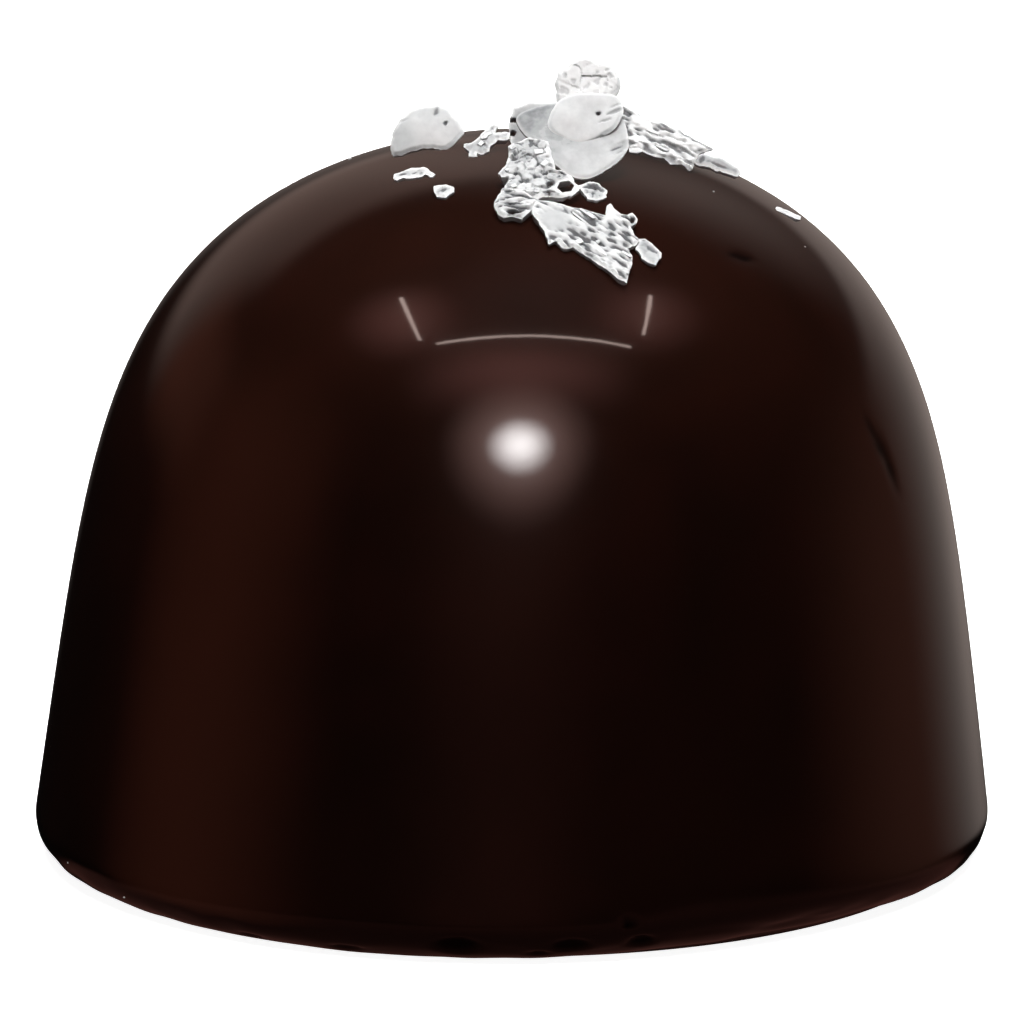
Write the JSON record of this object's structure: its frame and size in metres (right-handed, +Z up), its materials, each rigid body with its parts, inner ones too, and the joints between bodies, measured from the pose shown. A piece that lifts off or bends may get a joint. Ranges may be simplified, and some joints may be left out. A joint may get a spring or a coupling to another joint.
{
  "type": "chocolate praline",
  "caption": "Round moulded dark chocolate praline: a domed, slightly tapering body with a flat foot and rounded lower edge, topped with thin flakes of sea salt.",
  "frame": {"origin": "middle of the flat foot that the praline rests on", "axes": "+Z is up, square to the foot, with the dome's axis leaning from it by a degree towards +X; -Y is the side shown in the picture, +X is to its right"},
  "size_m": [0.0282, 0.0282, 0.0238],
  "materials": {
    "dark_chocolate": "gloss",
    "sea_salt": "satin"
  },
  "bodies": {
    "root": {"praline": "dark_chocolate"}
  },
  "joints": []
}
